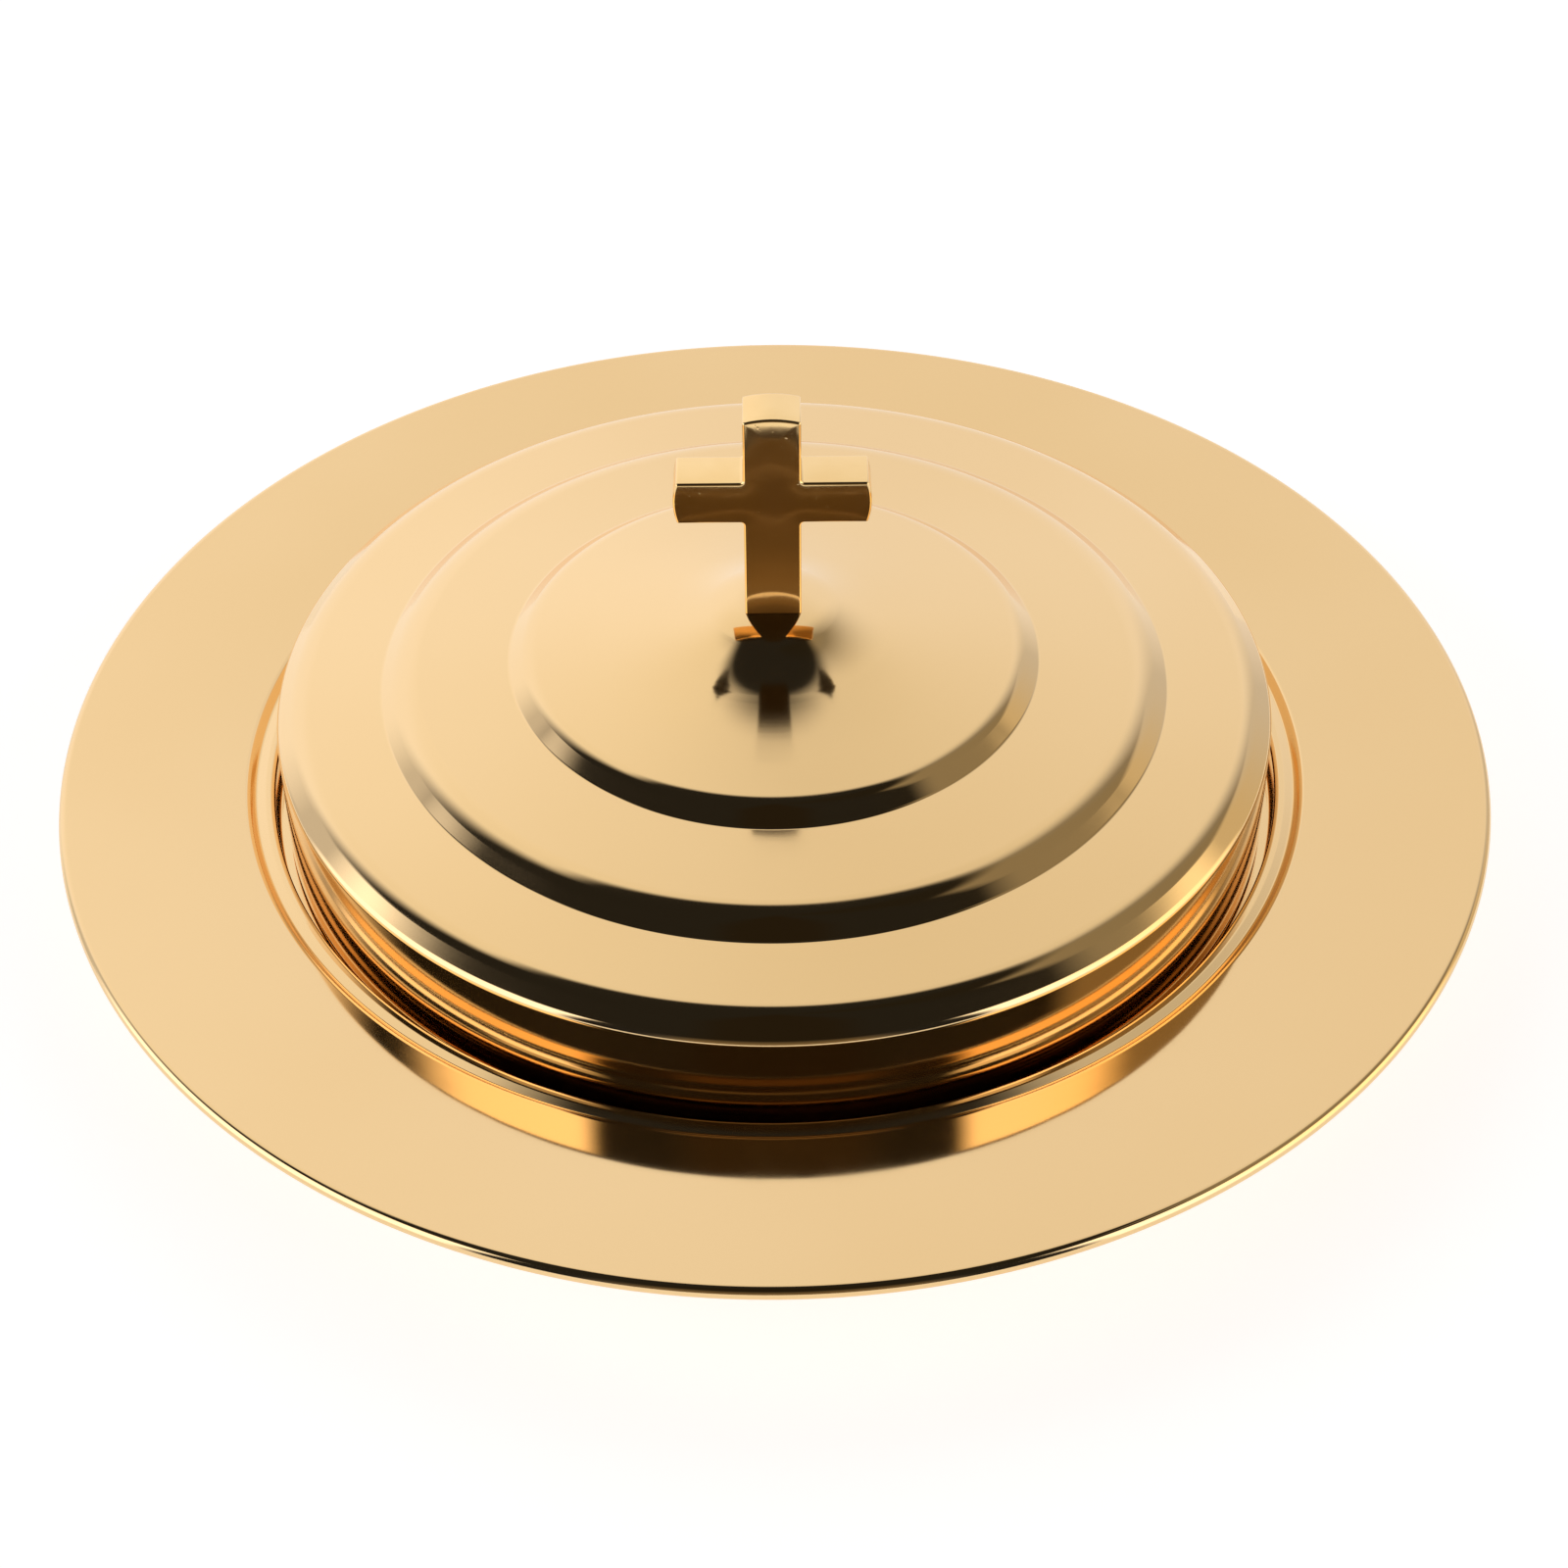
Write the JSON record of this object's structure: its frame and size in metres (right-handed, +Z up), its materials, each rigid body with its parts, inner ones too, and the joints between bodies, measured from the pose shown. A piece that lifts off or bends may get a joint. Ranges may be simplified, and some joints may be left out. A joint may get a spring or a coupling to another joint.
{
  "type": "communion bread plate",
  "caption": "Round bread plate with a wide rolled rim and a deep well, closed by a stepped lift-off lid that carries an upright cross as its handle.",
  "frame": {"origin": "on the table under the middle of the plate's flat base", "axes": "+Z up along the axis of the spun plate, +X along the cross's arms, -Y the side that the cross faces"},
  "size_m": [0.318, 0.318, 0.1196],
  "materials": {
    "gold_plate": "mirror-polished stainless steel with a gold-coloured coating",
    "gold_lid": "mirror-polished stainless steel with a gold-coloured coating",
    "gold_cross": "polished casting with a gold-coloured coating",
    "bare_steel": "bright zinc-plated steel"
  },
  "bodies": {
    "plate": {"plate": "gold_plate"},
    "lid": {"lid_shell": "gold_lid", "cross": "gold_cross", "washer": "bare_steel", "fixing_screw": "bare_steel"}
  },
  "joints": [
    {"name": "lid_lift", "type": "slide", "parent": "plate", "child": "lid", "axis": [0, 0, 1], "range_m": [0, 0.12]}
  ]
}
